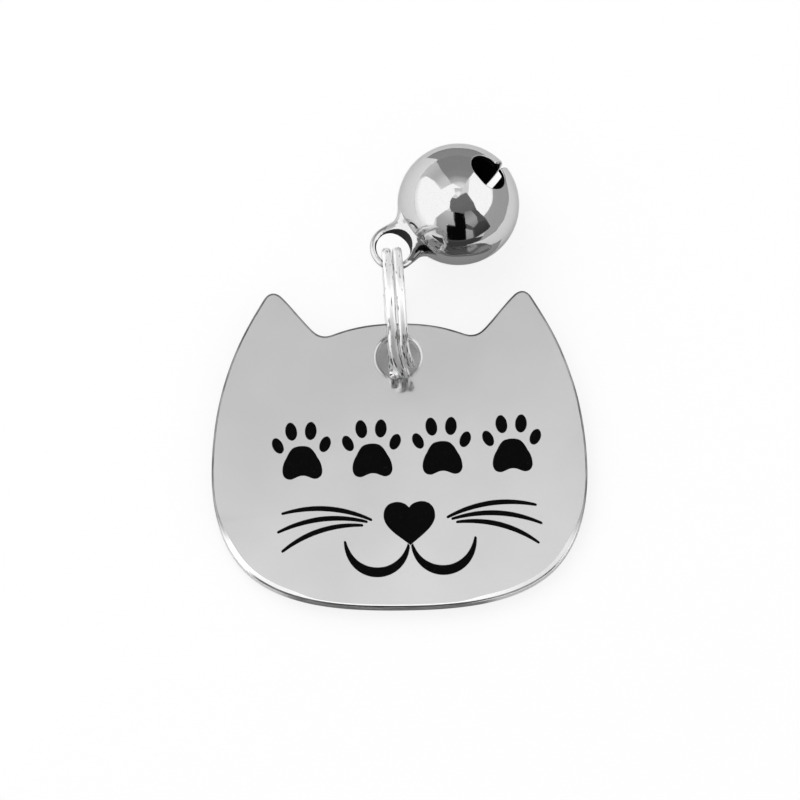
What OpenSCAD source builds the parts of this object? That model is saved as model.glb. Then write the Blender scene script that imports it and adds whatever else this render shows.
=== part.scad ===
// Pet id tag: an engraved cat-head plate on a split ring, with a ball bell on the same ring.
// The object lies on a table, face up. X runs across the tag, Y from its chin to its ears, Z up.
// The origin is on the table, under the middle of the whole object.

/* [Tag plate] */
// Width across the cheeks
tag_w = 30; // [24:0.5:40]
// Height from the chin to the top of the head, between the ears
face_h = 23.2; // [20:0.2:32]
// Thickness of the plate
plate_t = 1.5; // [1:0.1:2]
// How far the ear tips stand above the top of the head
ear_rise = 2.68; // [1.5:0.02:4]
// Distance between the two ear tips
ear_span = 20.05; // [17:0.05:22]
// Bevel on the edges of the plate
edge_bevel = 0.22; // [0.1:0.02:0.3]
// Turn of the tag on the table, in degrees
tag_turn = 0.6; // [0:0.1:2]

/* [Hanging hole] */
// Diameter of the hole
hole_d = 3.4; // [3.2:0.1:4]
// Distance from the top of the head to the middle of the hole
hole_drop = 2.77; // [2.6:0.05:3.2]
// Bevel on the two rims of the hole
hole_bevel = 0.3; // [0.1:0.05:0.4]

/* [Artwork] */
// Depth of the engraved pockets
engrave_depth = 0.2; // [0.1:0.02:0.4]
// Thickness of the black fill in them
fill_t = 0.16; // [0.08:0.02:0.2]
// Turn of the artwork on the plate, in degrees
art_turn = 1.5; // [0:0.1:3]
// How far the artwork sits to the right of the middle of the plate
art_aside = 0.82; // [0:0.02:1.2]
// Height of the middle of the mouth above the chin
mouth_up = 4.8; // [4:0.02:5.5]
// Width of the heart-shaped nose
nose_w = 4.1; // [3:0.05:5]
// Height of the nose
nose_h = 3.5; // [3:0.05:4]
// Height of the nose's tip above the middle of the mouth
nose_gap = 0.27; // [0.15:0.01:0.5]
// Steel left between the nose and each half of the mouth, measured upwards
mouth_clear = 0.07; // [0.05:0.01:0.15]
// Width of one half of the mouth
mouth_w = 5.2; // [4:0.1:6]
// How far the mouth's ends stand above its middle
mouth_lift = 0.68; // [0:0.02:1]
// How deep the middle line of each half of the mouth hangs
mouth_sag = 1.87; // [1:0.01:2.2]
// Thickest place of the mouth's stroke
mouth_line = 0.77; // [0.3:0.01:1]
// Thickest place of a whisker
whisker_line = 0.39; // [0.2:0.01:0.5]
// Width of the round ends of the strokes
stroke_tip = 0.19; // [0.1:0.01:0.2]
// How far a whisker bows upwards
whisker_bow = 0.64; // [0.2:0.01:1]
// Width of a paw print
paw_w = 4.6; // [3:0.1:5]
// Height of a paw print
paw_h = 4.7; // [3:0.1:5.4]
// Distance from one paw print to the next
paw_pitch = 5.6; // [5:0.1:6]
// Height of the paw prints' middle above the middle of the mouth
paw_up = 8.25; // [7.5:0.05:9]

/* [Split ring] */
// Outer diameter of the split ring
ring_d = 10.5; // [9:0.25:14]
// Width of the wire, along the ring's axis
wire_w = 0.75; // [0.6:0.05:0.9]
// Thickness of the wire, towards the ring's middle
wire_t = 0.8; // [0.6:0.05:1]
// Rounding of the wire's edges
wire_round = 0.28; // [0.1:0.02:0.3]
// Gap between the two turns
coil_gap = 0.1; // [0.06:0.01:0.15]
// Turn of the ring away from square to the tag, in degrees
ring_turn = 3.9; // [0:0.1:6]
// How far the middle of the ring lies to the left of the hole
ring_aside = 0.22; // [0:0.02:0.4]

/* [Bell] */
// Outer diameter of the ball
bell_d = 9.75; // [8:0.25:12]
// Thickness of the bell's sheet
bell_wall = 0.4; // [0.3:0.05:0.5]
// Width of the slot over the nose of the bell
slot_w = 0.55; // [0.4:0.05:0.8]
// Length of an oval opening along the slot
oval_l = 2.7; // [2:0.1:3]
// Width of an oval opening across the slot
oval_w = 3.3; // [2.8:0.1:3.6]
// Angle from the nose to the middle of an oval opening, in degrees
oval_angle = 58.4; // [50:0.1:62]
// Turn of the slot away from the line of the eye, in degrees
slot_turn = 3.5; // [0:0.1:6]
// Roll of the slot about the line of the eye, in degrees
slot_roll = 3.4; // [0:0.1:6]
// Diameter of the loose ball inside
pea_d = 3.4; // [3.2:0.1:4]

/* [Bell eye] */
// Inner diameter of the eye
eye_hole = 2.8; // [2.6:0.05:3.2]
// Diameter of the eye's wire
eye_wire = 0.52; // [0.4:0.02:0.7]
// Diameter of the stem that goes through the crown
stem_d = 1.2; // [0.8:0.1:1.6]
// Diameter of the riveted head inside the crown
rivet_d = 2; // [1.6:0.1:2.6]
// Thickness of the riveted head
rivet_t = 0.35; // [0.2:0.05:0.5]
// Turn of the bell about the ring, from the tag's width, in degrees
bell_turn = 36.9; // [20:0.1:60]
// How far the nose of the bell points down, in degrees
bell_pitch = 7.8; // [4:0.1:12]
// Direction in which the eye hangs off the ring's wire, in degrees
slack_turn = 68; // [40:1:90]

/* [Hidden] */
$fn = 96;

// Clearances, in the order in which they are used
bridge_clear = 0.09;
rim_clear = 0.2;
eye_clear = 0.12;
foot_clear = 0.02;
stem_clear = 0.03;
pea_clear = 0.06;
overrun = 1;

// Plate outline: right half, from the top of the head to the chin. Each row gives the shares of
// half the width, half the ear span, the face height and the ear rise that add up to its x and y.
// Rows are cubic curves: a through point, two handles, the next through point, and so on.
outline_shares = [
    [0, 0, 1, 0], [0.19, 0, 1, 0], [0.28, 0, 0.978, 0],
    [0.355, 0, 0.961, 0], [0.383, 0, 0.955, 0], [0.413, 0, 0.9545, 0],
    [0, 0.664, 0.97, 0], [0, 0.724, 0.991, 0], [0, 0.844, 1, 0.53],
    [0, 0.92, 1, 0.81], [0, 0.964, 1, 0.99], [0, 1.022, 1, 1.03],
    [0, 1.067, 1, 0.78], [0, 1.192, 1, 0.02], [0.861, 0, 0.932, 0],
    [0.92, 0, 0.812, 0], [0.975, 0, 0.706, 0], [1, 0, 0.58, 0],
    [1, 0, 0.468, 0], [1, 0, 0.32, 0], [0.925, 0, 0.182, 0],
    [0.772, 0, 0.108, 0], [0.58, 0, 0.0155, 0], [0.3, 0, 0, 0],
    [0, 0, 0, 0]];
outline_steps = 8;

// Nose: right half of a heart, in shares of its width and height, from the notch to the tip
nose_shares = [
    [0, 0.87], [0.1, 1.07], [0.5, 1.08],
    [0.5, 0.7], [0.5, 0.4], [0.19, 0.2],
    [0, 0]];

// Middle line of the mouth's right half, in shares of its width and sag: its start at the nose and
// the two handles of a cubic curve. Its end is where the width and the lift put it.
mouth_shares = [[0.027, 0.167], [0.145, -1.418], [0.915, -1.418]];

// Whiskers on the right: start and end, in shares of the mouth's half width from its middle
whisker_shares = [
    [[0.589, 0.468], [1.942, 0.612]],
    [[0.66, 0.44], [2.018, 0.323]],
    [[0.731, 0.386], [1.963, 0.022]]];

// Paw print, in shares of its width and height: right half of the pad, and each toe's place,
// its half width and half height, and its lean in degrees
pad_shares = [
    [0, 0.08], [0.16, 0.08], [0.2, 0.02],
    [0.27, -0.12], [0.37, -0.26], [0.39, -0.5],
    [0.2, -0.49], [0.12, -0.47], [0.08, -0.43],
    [0, -0.43]];
toe_shares = [[0.17, 0.34, 0.1, 0.155], [0.41, 0.1, 0.09, 0.14]];
toe_leans = [-6, -24];
curve_steps = 8;

// Where the two ends of the ring's wire and the step between its turns lie, in degrees from the
// far side of the ring over its top, how fine the wire is drawn, and the shape of its tips: their
// length in shares of the wire's width, and the flat left on them in shares of that length
end_angle = 167;
step_from_angle = -164;
step_to_angle = -228;
stop_angle = -532;
wire_step_angle = 7;
end_taper_share = 0.6;
end_flat_share = 0.08;

function bezier(p, t) =
    p[0] * (1 - t) ^ 3 + 3 * p[1] * t * (1 - t) ^ 2 + 3 * p[2] * t ^ 2 * (1 - t) + p[3] * t ^ 3;
function curve(rows, steps) = [
    for (s = [0 : 3 : len(rows) - 4]) for (k = [0 : steps - 1])
        bezier([for (j = [0 : 3]) rows[s + j]], k / steps)];
function mirrored(half) = concat(
    half, [for (i = [len(half) - 1 : -1 : 0]) if (half[i][0] > 0) [-half[i][0], half[i][1]]]);
function half_curve(rows, steps) = concat(curve(rows, steps), [rows[len(rows) - 1]]);
function unit(v) = v / norm(v);
function backwards(v) = [for (i = [len(v) - 1 : -1 : 0]) v[i]];

// Direction to the left of a cubic curve, square to it
function left_of(p, t) =
    let (run = unit((p[1] - p[0]) * (1 - t) ^ 2 + 2 * (p[2] - p[1]) * t * (1 - t) + (p[3] - p[2]) * t ^ 2))
    [-run[1], run[0]];

// Plate sizes that follow
hole_up = face_h - hole_drop;
outline = mirrored(half_curve([
    for (r = outline_shares)
        [r[0] * tag_w / 2 + r[1] * ear_span / 2, r[2] * face_h + r[3] * ear_rise - hole_up]],
    outline_steps));
function inset(points, d) = [
    for (i = [0 : len(points) - 1])
        let (run = unit(points[(i + 1) % len(points)] - points[(i + len(points) - 1) % len(points)]))
        points[i] + d * [run[1], -run[0]]];

// Ring sizes that follow
ring_r = ring_d / 2;
ring_inner_r = ring_r - wire_t;
ring_mid_r = ring_r - wire_t / 2;
ring_w = 2 * wire_w + coil_gap;
ring_lane = (wire_w + coil_gap) / 2;

// The plate lies on its chin and on the ring. The ring's middle lies seat_ahead beyond the upper
// rim of the hole, just far enough for the wire to clear the lower rim.
function rim_height(ahead) = ring_r - sqrt((ring_inner_r - bridge_clear) ^ 2 - ahead ^ 2);
function wire_reach(height) = sqrt(ring_r ^ 2 - (ring_r - height) ^ 2);
function next_ahead(top) = rim_clear - hole_d
    + max(wire_reach(top - hole_bevel), wire_reach(top) - hole_bevel);
function settled_ahead(ahead, rounds) =
    rounds == 0 ? ahead : settled_ahead(next_ahead(rim_height(ahead) + plate_t), rounds - 1);
seat_ahead = settled_ahead(hole_d / 3, 8);
plate_tilt = asin(rim_height(seat_ahead) / (hole_up + hole_d / 2));
chin_y = -hole_up * cos(plate_tilt);
ring_y = chin_y + (hole_up + hole_d / 2) * cos(plate_tilt) + seat_ahead;

// Bell sizes that follow
bell_r = bell_d / 2;
cavity_r = bell_r - bell_wall;
pea_r = pea_d / 2;
eye_r = eye_hole / 2 + eye_wire / 2;
eye_stand = bell_r + eye_r;
eye_z = bell_r + eye_stand * sin(bell_pitch);
strand_s = sqrt(ring_mid_r ^ 2 - (eye_z - ring_r) ^ 2);
strand_half = norm([ring_w / 2 - wire_round, wire_t / 2 - wire_round]) + wire_round;
eye_slack = eye_hole / 2 - strand_half - eye_clear;
eye_at = [-ring_aside - strand_s * sin(ring_turn) + eye_slack * cos(slack_turn),
          ring_y + strand_s * cos(ring_turn) + eye_slack * sin(slack_turn),
          eye_z];
bell_at = eye_at + eye_stand * [cos(bell_pitch) * cos(bell_turn),
                                cos(bell_pitch) * sin(bell_turn), -sin(bell_pitch)];

// Everything is shifted so that the origin lies under the middle of the whole object
middle_y = (bell_at[1] + bell_r + chin_y - (plate_t - edge_bevel) * sin(plate_tilt)) / 2;

module on_table() {
    translate([0, -middle_y, 0]) children();
}

// The plate's own frame: origin at the middle of the hole on the back face
module on_plate() {
    on_table() translate([0, chin_y, 0]) rotate([plate_tilt, 0, 0]) translate([0, hole_up, 0])
        rotate([0, 0, tag_turn]) children();
}

// The artwork's own frame: origin at the middle of the mouth
module on_artwork() {
    translate([art_aside, mouth_up - hole_up]) rotate([0, 0, art_turn]) children();
}

// The ring's own frame: origin at its middle, axis along Z, X towards its far side, Y up
module on_ring() {
    on_table() translate([-ring_aside, ring_y, ring_r]) rotate([0, 0, ring_turn])
        rotate([90, 0, 90]) children();
}

// The bell's own frame: origin at the middle of the ball, Z towards its nose, X down
module on_bell() {
    on_table() translate(bell_at) rotate([0, 0, bell_turn]) rotate([0, 90 + bell_pitch, 0]) children();
}

// A cutter that runs round the outline: its section is a triangle of [depth inside the outline, level]
module edge_cutter(corners) {
    n = len(outline);
    sides = len(corners);
    rows = [for (c = corners) [for (p = inset(outline, c[0])) [p[0], p[1], c[1]]]];
    polyhedron(
        points = [for (i = [0 : n - 1]) for (row = rows) row[i]],
        faces = [for (i = [0 : n - 1]) for (j = [0 : sides - 1])
            [i * sides + j, i * sides + (j + 1) % sides,
             ((i + 1) % n) * sides + (j + 1) % sides, ((i + 1) % n) * sides + j]]);
}

// A stroke along a cubic curve, thickest at its middle, with round ends
module stroke(rows, line) {
    steps = 2 * curve_steps;
    function width(t) = stroke_tip + (line - stroke_tip) * (1 - (2 * t - 1) ^ 2);
    function side(sign) = [
        for (k = [0 : steps]) let (t = k / steps)
            bezier(rows, t) + sign * left_of(rows, t) * width(t) / 2];
    function cap(t, sign) =
        let (out = sign * left_of(rows, t), ahead = [out[1], -out[0]])
        [for (a = [45, 90, 135]) bezier(rows, t) + (out * cos(a) + ahead * sin(a)) * stroke_tip / 2];
    polygon(concat(side(1), cap(1, 1), backwards(side(-1)), cap(0, -1)));
}

module nose_shape() {
    translate([0, nose_gap]) polygon(mirrored(half_curve(
        [for (r = nose_shares) [r[0] * nose_w, r[1] * nose_h]], curve_steps)));
}

module mouth_shape() {
    flank = unit([nose_shares[5][0] * nose_w, nose_shares[5][1] * nose_h]);
    rows = concat([for (r = mouth_shares) [r[0] * mouth_w, r[1] * mouth_sag]], [[mouth_w, mouth_lift]]);
    for (side = [0, 1]) mirror([side, 0]) difference() {
        stroke(rows, mouth_line);
        translate([0, nose_gap - mouth_clear]) polygon([[0, 0], flank * nose_w, [0, nose_w]]);
    }
}

module whiskers_shape(side) {
    mirror([side, 0]) for (w = whisker_shares) {
        start = w[0] * mouth_w;
        run = w[1] * mouth_w - start;
        bow = unit([-run[1], run[0]]) * whisker_bow * 4 / 3;
        stroke([start, start + run / 3 + bow, start + run * 2 / 3 + bow, start + run], whisker_line);
    }
}

module toe_shape(toe, lean) {
    translate([toe[0] * paw_w, toe[1] * paw_h]) rotate([0, 0, lean])
        polygon([for (a = [0 : 180 / curve_steps : 359])
            [toe[2] * paw_w * cos(a), toe[3] * paw_h * sin(a)]]);
}

module paw_shape(place) {
    translate([(place - 1.5) * paw_pitch, paw_up]) {
        polygon(mirrored(half_curve(
            [for (r = pad_shares) [r[0] * paw_w, r[1] * paw_h]], curve_steps)));
        for (side = [0, 1]) mirror([side, 0]) for (i = [0, 1]) toe_shape(toe_shares[i], toe_leans[i]);
    }
}

module pocket() {
    translate([0, 0, plate_t - engrave_depth]) linear_extrude(engrave_depth + overrun)
        on_artwork() children();
}

module black_fill() {
    color("#141414") on_plate() translate([0, 0, plate_t - engrave_depth])
        linear_extrude(fill_t) on_artwork() children();
}

module tag_plate() {
    past = edge_bevel;
    inner = edge_bevel + past;
    color("#c8c8c8") on_plate() difference() {
        linear_extrude(plate_t) polygon(outline);
        edge_cutter([[-past, plate_t - inner], [inner, plate_t + past], [-past, plate_t + past]]);
        edge_cutter([[-past, inner], [-past, -past], [inner, -past]]);
        translate([0, 0, -overrun]) cylinder(d = hole_d, h = plate_t + 2 * overrun);
        translate([0, 0, plate_t - hole_bevel])
            cylinder(d1 = hole_d, d2 = hole_d + 2 * hole_bevel, h = hole_bevel);
        cylinder(d1 = hole_d + 2 * hole_bevel, d2 = hole_d, h = hole_bevel);
        pocket() nose_shape();
        pocket() mouth_shape();
        pocket() whiskers_shape(0);
        pocket() whiskers_shape(1);
        for (place = [0 : 3]) pocket() paw_shape(place);
    }
}

module nose_fill() {
    black_fill() nose_shape();
}

module mouth_fill() {
    black_fill() mouth_shape();
}

module left_whiskers_fill() {
    black_fill() whiskers_shape(1);
}

module right_whiskers_fill() {
    black_fill() whiskers_shape(0);
}

module paw_fill(place) {
    black_fill() paw_shape(place);
}

// One wire in two turns. Its section is a rounded rectangle, and it shrinks to a round tip at
// each end. Angles run from the upper end at the front, over the top, twice round. Beside the
// step, each end is pushed aside by the wire that crosses from one turn to the other.
function smooth(t) = let (c = min(1, max(0, t))) c * c * (3 - 2 * c);
function crossing(a) =
    ring_lane * (1 - 2 * smooth((step_from_angle - a) / (step_from_angle - step_to_angle)));
function lane(a) =
    a > step_to_angle + 360 ? crossing(a - 360) + 2 * ring_lane
    : a < step_from_angle - 360 ? crossing(a + 360) - 2 * ring_lane
    : crossing(a);
function tip(a) =
    let (arc = ring_mid_r * min(end_angle - a, a - stop_angle) * PI / 180,
         taper = end_taper_share * wire_w,
         k = min(1, max(end_flat_share, arc / taper)))
    sqrt(k * (2 - k));
section = [
    for (q = [0 : 3]) for (c = [0, 45, 90])
        let (sx = q == 0 || q == 3 ? 1 : -1, sy = q < 2 ? 1 : -1)
        [sx * (wire_t / 2 - wire_round) + wire_round * cos(q * 90 + c),
         sy * (wire_w / 2 - wire_round) + wire_round * sin(q * 90 + c)]];
tip_arc = end_taper_share * wire_w / ring_mid_r * 180 / PI;
tip_shares = [0, 0.25, 0.6];
wire_angles = concat(
    [for (t = tip_shares) end_angle - t * tip_arc],
    [for (a = [end_angle - tip_arc : -wire_step_angle : stop_angle + tip_arc]) a],
    [for (i = [len(tip_shares) - 1 : -1 : 0]) stop_angle + tip_shares[i] * tip_arc]);
wire_points = [
    for (a = wire_angles) for (s = section)
        let (r = ring_mid_r + s[0] * tip(a), z = lane(a) + s[1] * tip(a))
        [r * cos(a), r * sin(a), z]];

module split_ring() {
    sides = len(section);
    rings = len(wire_angles);
    color("#d8d8d8") on_ring() polyhedron(
        points = wire_points,
        faces = concat(
            [[for (i = [0 : sides - 1]) i]],
            [[for (i = [sides - 1 : -1 : 0]) (rings - 1) * sides + i]],
            [for (k = [0 : rings - 2]) for (i = [0 : sides - 1])
                [k * sides + (i + 1) % sides, k * sides + i,
                 (k + 1) * sides + i, (k + 1) * sides + (i + 1) % sides]]));
}

// Least gap of the wire to itself: between one turn and the next, wherever both pass
turn_gap = min([
    for (a = wire_angles)
        if (a - 360 >= stop_angle) abs(lane(a) - lane(a - 360)) - wire_w]);
echo(least_gap_of_ring_turns = turn_gap);

// A cutter through the ball's sheet: a straight round-ended opening, seen along its own axis
module oval_cutter() {
    r = oval_l / 2;
    for (side = [-1, 1]) translate([0, side * (oval_w - oval_l) / 2, 0])
        cylinder(r = r, h = bell_r + overrun);
    translate([-r, -(oval_w - oval_l) / 2, 0]) cube([oval_l, oval_w - oval_l, bell_r + overrun]);
}

module bell_body() {
    slot_depth = bell_r * cos(oval_angle);
    color("#b4b4b4") on_bell() difference() {
        sphere(r = bell_r);
        sphere(r = cavity_r);
        translate([0, 0, -bell_r - overrun]) cylinder(d = stem_d + 2 * stem_clear, h = bell_r + overrun);
        rotate([-slot_turn, 0, slot_roll]) {
            translate([-bell_r - overrun, -slot_w / 2, slot_depth])
                cube([2 * (bell_r + overrun), slot_w, bell_r + overrun - slot_depth]);
            for (side = [-1, 1]) rotate([0, side * oval_angle, 0]) oval_cutter();
        }
    }
}

// The eye: a bow of wire with two legs, a flared foot that sits on the ball, and a riveted stem
module bell_eye() {
    foot_r = eye_hole / 2 + eye_wire;
    foot_h = eye_r + eye_wire;
    web_hole_r = eye_hole / 2 + eye_wire / 4;
    stem_from = -bell_r - eye_wire / 2;
    rivet_from = -sqrt(cavity_r ^ 2 - (rivet_d / 2) ^ 2) + foot_clear;
    color("#bcbcbc") on_bell() {
        difference() {
            translate([0, 0, -eye_stand]) {
                rotate([90, 0, 90]) rotate([0, 0, 180]) rotate_extrude(angle = 180)
                    translate([eye_r, 0]) circle(d = eye_wire);
                for (side = [-1, 1]) translate([0, side * eye_r, 0])
                    cylinder(d = eye_wire, h = foot_h);
                difference() {
                    cylinder(r1 = stem_d / 2, r2 = foot_r, h = foot_h);
                    translate([-foot_r, 0, 0]) rotate([0, 90, 0])
                        cylinder(r = web_hole_r, h = 2 * foot_r);
                }
            }
            sphere(r = bell_r + foot_clear);
        }
        translate([0, 0, stem_from]) cylinder(d = stem_d, h = rivet_from + rivet_t / 2 - stem_from);
        translate([0, 0, rivet_from]) cylinder(d = rivet_d, h = rivet_t);
    }
}

module bell_pea() {
    pea_drop = cavity_r - pea_r - pea_clear;
    color("#8c8c8c") on_table() translate(bell_at - [0, 0, pea_drop]) sphere(r = pea_r);
}

tag_plate();
nose_fill();
mouth_fill();
left_whiskers_fill();
right_whiskers_fill();
paw_fill(0);  // paw_fill_1
paw_fill(1);  // paw_fill_2
paw_fill(2);  // paw_fill_3
paw_fill(3);  // paw_fill_4
split_ring();
bell_body();
bell_eye();
bell_pea();
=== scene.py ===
"""Looks of the pet id tag: polished plate, enamelled engraving, split ring and ball bell."""
import math

import bmesh
import bpy
from mathutils import Matrix, Vector
from mathutils.geometry import delaunay_2d_cdt


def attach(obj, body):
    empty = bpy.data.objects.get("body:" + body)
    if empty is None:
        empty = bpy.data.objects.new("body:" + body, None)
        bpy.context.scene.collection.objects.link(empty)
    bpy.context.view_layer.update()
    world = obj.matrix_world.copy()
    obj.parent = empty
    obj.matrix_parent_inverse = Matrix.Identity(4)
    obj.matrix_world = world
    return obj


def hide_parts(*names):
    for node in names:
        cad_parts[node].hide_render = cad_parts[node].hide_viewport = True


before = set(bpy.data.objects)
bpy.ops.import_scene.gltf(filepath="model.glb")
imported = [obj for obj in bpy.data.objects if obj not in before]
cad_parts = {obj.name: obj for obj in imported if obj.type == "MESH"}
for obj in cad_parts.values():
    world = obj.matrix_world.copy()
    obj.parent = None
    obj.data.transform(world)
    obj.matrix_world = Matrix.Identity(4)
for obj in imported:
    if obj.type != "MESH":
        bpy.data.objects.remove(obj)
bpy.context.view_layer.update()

# Sizes in millimetres and angles in degrees, the same as the solids have
MM = 0.001
TAG_W = 30
FACE_H = 23.2
PLATE_T = 1.5
EAR_RISE = 2.68
EAR_SPAN = 20.05
EDGE_ROUND = 0.22
TAG_TURN = 0.6
HOLE_R = 1.7
HOLE_DROP = 2.77
HOLE_ROUND = 0.3
ENGRAVE_DEPTH = 0.2
ENAMEL_T = 0.16
ART_TURN = 1.5
ART_ASIDE = 0.82
MOUTH_UP = 4.8
NOSE_W = 4.1
NOSE_H = 3.5
NOSE_GAP = 0.27
MOUTH_CLEAR = 0.07
MOUTH_W = 5.2
MOUTH_LIFT = 0.68
MOUTH_SAG = 1.87
MOUTH_LINE = 0.77
WHISKER_LINE = 0.39
STROKE_TIP = 0.19
WHISKER_BOW = 0.64
PAW_W = 4.6
PAW_H = 4.7
PAW_PITCH = 5.6
PAW_UP = 8.25
RING_D = 10.5
WIRE_W = 0.75
WIRE_T = 0.8
WIRE_ROUND = 0.28
COIL_GAP = 0.1
RING_TURN = 3.9
RING_ASIDE = 0.22
BELL_D = 9.75
BELL_WALL = 0.4
SLOT_W = 0.55
OVAL_L = 2.7
OVAL_W = 3.3
OVAL_ANGLE = 58.4
SLOT_TURN = 3.5
SLOT_ROLL = 3.4
EYE_HOLE = 2.8
EYE_WIRE = 0.52
STEM_D = 1.2
RIVET_D = 2.0
RIVET_T = 0.35
BELL_TURN = 36.9
BELL_PITCH = 7.8
SLACK_TURN = 68
BRIDGE_CLEAR = 0.09
RIM_CLEAR = 0.2
EYE_CLEAR = 0.12

# Plate outline, right half from the top of the head to the chin: shares of half the width, half
# the ear span, the face height and the ear rise
OUTLINE_SHARES = [
    (0, 0, 1, 0), (0.19, 0, 1, 0), (0.28, 0, 0.978, 0),
    (0.355, 0, 0.961, 0), (0.383, 0, 0.955, 0), (0.413, 0, 0.9545, 0),
    (0, 0.664, 0.97, 0), (0, 0.724, 0.991, 0), (0, 0.844, 1, 0.53),
    (0, 0.92, 1, 0.81), (0, 0.964, 1, 0.99), (0, 1.022, 1, 1.03),
    (0, 1.067, 1, 0.78), (0, 1.192, 1, 0.02), (0.861, 0, 0.932, 0),
    (0.92, 0, 0.812, 0), (0.975, 0, 0.706, 0), (1, 0, 0.58, 0),
    (1, 0, 0.468, 0), (1, 0, 0.32, 0), (0.925, 0, 0.182, 0),
    (0.772, 0, 0.108, 0), (0.58, 0, 0.0155, 0), (0.3, 0, 0, 0),
    (0, 0, 0, 0)]
NOSE_SHARES = [(0, 0.87), (0.1, 1.07), (0.5, 1.08), (0.5, 0.7), (0.5, 0.4), (0.19, 0.2), (0, 0)]
MOUTH_SHARES = [(0.027, 0.167), (0.145, -1.418), (0.915, -1.418)]
WHISKER_SHARES = [
    ((0.589, 0.468), (1.942, 0.612)),
    ((0.66, 0.44), (2.018, 0.323)),
    ((0.731, 0.386), (1.963, 0.022))]
PAD_SHARES = [
    (0, 0.08), (0.16, 0.08), (0.2, 0.02), (0.27, -0.12), (0.37, -0.26), (0.39, -0.5), (0.2, -0.49),
    (0.12, -0.47), (0.08, -0.43), (0, -0.43)]
TOE_SHARES = [(0.17, 0.34, 0.1, 0.155), (0.41, 0.1, 0.09, 0.14)]
TOE_LEANS = [-6, -24]

# Ring wire: angles of its ends and of the step between its turns
END_ANGLE = 167
STEP_FROM_ANGLE = -164
STEP_TO_ANGLE = -228
STOP_ANGLE = -532
END_TAPER_SHARE = 0.6
END_FLAT_SHARE = 0.08

# How finely the curves are drawn
OUTLINE_STEPS = 24
CURVE_STEPS = 20
CAP_STEPS = 8
CUT_STEP = 0.13
ROUND_STEPS = 5
WELD = 1e-7


def rad(angle):
    return math.radians(angle)


def cos(angle):
    return math.cos(rad(angle))


def sin(angle):
    return math.sin(rad(angle))


def towards(azimuth, elevation):
    flat = cos(elevation)
    return Vector((cos(azimuth) * flat, sin(azimuth) * flat, sin(elevation)))


def turn(angle, axis):
    return Matrix.Rotation(rad(angle), 4, axis)


def shift(x, y, z=0):
    return Matrix.Translation((x, y, z))


def smooth(t):
    t = min(1.0, max(0.0, t))
    return t * t * (3 - 2 * t)


def between(value, low, high, fade):
    """1 inside a range and 0 outside it, with a smooth fade just inside each end."""
    return smooth((value - low) / fade) * smooth((high - value) / fade)


def mixed(first, second, share):
    return first + (second - first) * share


# Places that follow, worked out as the solids are: the plate lies on its chin and on the ring,
# the bell hangs off the far side of the ring
HOLE_UP = FACE_H - HOLE_DROP
RING_R = RING_D / 2
RING_MID_R = RING_R - WIRE_T / 2
RING_LANE = (WIRE_W + COIL_GAP) / 2
BELL_R = BELL_D / 2
EYE_R = EYE_HOLE / 2 + EYE_WIRE / 2
EYE_STAND = BELL_R + EYE_R


def rim_height(ahead):
    return RING_R - math.sqrt((RING_R - WIRE_T - BRIDGE_CLEAR) ** 2 - ahead ** 2)


def wire_reach(height):
    return math.sqrt(RING_R ** 2 - (RING_R - height) ** 2)


def settled_ahead(rounds=8):
    ahead = HOLE_R * 2 / 3
    for _ in range(rounds):
        top = rim_height(ahead) + PLATE_T
        reach = max(wire_reach(top - HOLE_ROUND), wire_reach(top) - HOLE_ROUND)
        ahead = RIM_CLEAR - 2 * HOLE_R + reach
    return ahead


SEAT_AHEAD = settled_ahead()
PLATE_TILT = math.degrees(math.asin(rim_height(SEAT_AHEAD) / (HOLE_UP + HOLE_R)))
CHIN_Y = -HOLE_UP * cos(PLATE_TILT)
RING_Y = CHIN_Y + (HOLE_UP + HOLE_R) * cos(PLATE_TILT) + SEAT_AHEAD


def bell_place():
    """The middle of the ball, before the shift to the middle of the object."""
    eye_z = BELL_R + EYE_STAND * sin(BELL_PITCH)
    strand = math.sqrt(RING_MID_R ** 2 - (eye_z - RING_R) ** 2)
    corner = math.hypot(WIRE_W + COIL_GAP / 2 - WIRE_ROUND, WIRE_T / 2 - WIRE_ROUND) + WIRE_ROUND
    slack = EYE_HOLE / 2 - corner - EYE_CLEAR
    eye = Vector((
        -RING_ASIDE - strand * sin(RING_TURN) + slack * cos(SLACK_TURN),
        RING_Y + strand * cos(RING_TURN) + slack * sin(SLACK_TURN),
        eye_z))
    return eye + EYE_STAND * towards(BELL_TURN, -BELL_PITCH)


BELL_AT = bell_place()
CHIN_REACH = (PLATE_T - EDGE_ROUND) * sin(PLATE_TILT)
MIDDLE_Y = (BELL_AT.y + BELL_R + CHIN_Y - CHIN_REACH) / 2
ON_TABLE = shift(0, -MIDDLE_Y)
ON_PLATE = (
    ON_TABLE @ shift(0, CHIN_Y) @ turn(PLATE_TILT, "X") @ shift(0, HOLE_UP) @ turn(TAG_TURN, "Z"))
ON_RING = ON_TABLE @ shift(-RING_ASIDE, RING_Y, RING_R) @ turn(RING_TURN + 90, "Z") @ turn(90, "X")
ON_BELL = ON_TABLE @ Matrix.Translation(BELL_AT) @ turn(BELL_TURN, "Z") @ turn(90 + BELL_PITCH, "Y")
ON_SLOT = ON_BELL @ turn(SLOT_ROLL, "Z") @ turn(-SLOT_TURN, "X")
ON_ARTWORK = shift(ART_ASIDE, MOUTH_UP - HOLE_UP) @ turn(ART_TURN, "Z")
UP = Vector((0, 0, 1))


def flat_xy(point):
    return Vector((point.x, point.y))


def raised(loop, z):
    return [p.to_3d() + z * UP for p in loop]


def circle(radius, count):
    turns = (2 * math.pi * k / count for k in range(count))
    return [Vector((radius * math.cos(a), radius * math.sin(a))) for a in turns]


def placed(name, data):
    """A new object in the scene that holds the data."""
    made = bpy.data.objects.new(name, data)
    bpy.context.scene.collection.objects.link(made)
    return made


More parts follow.
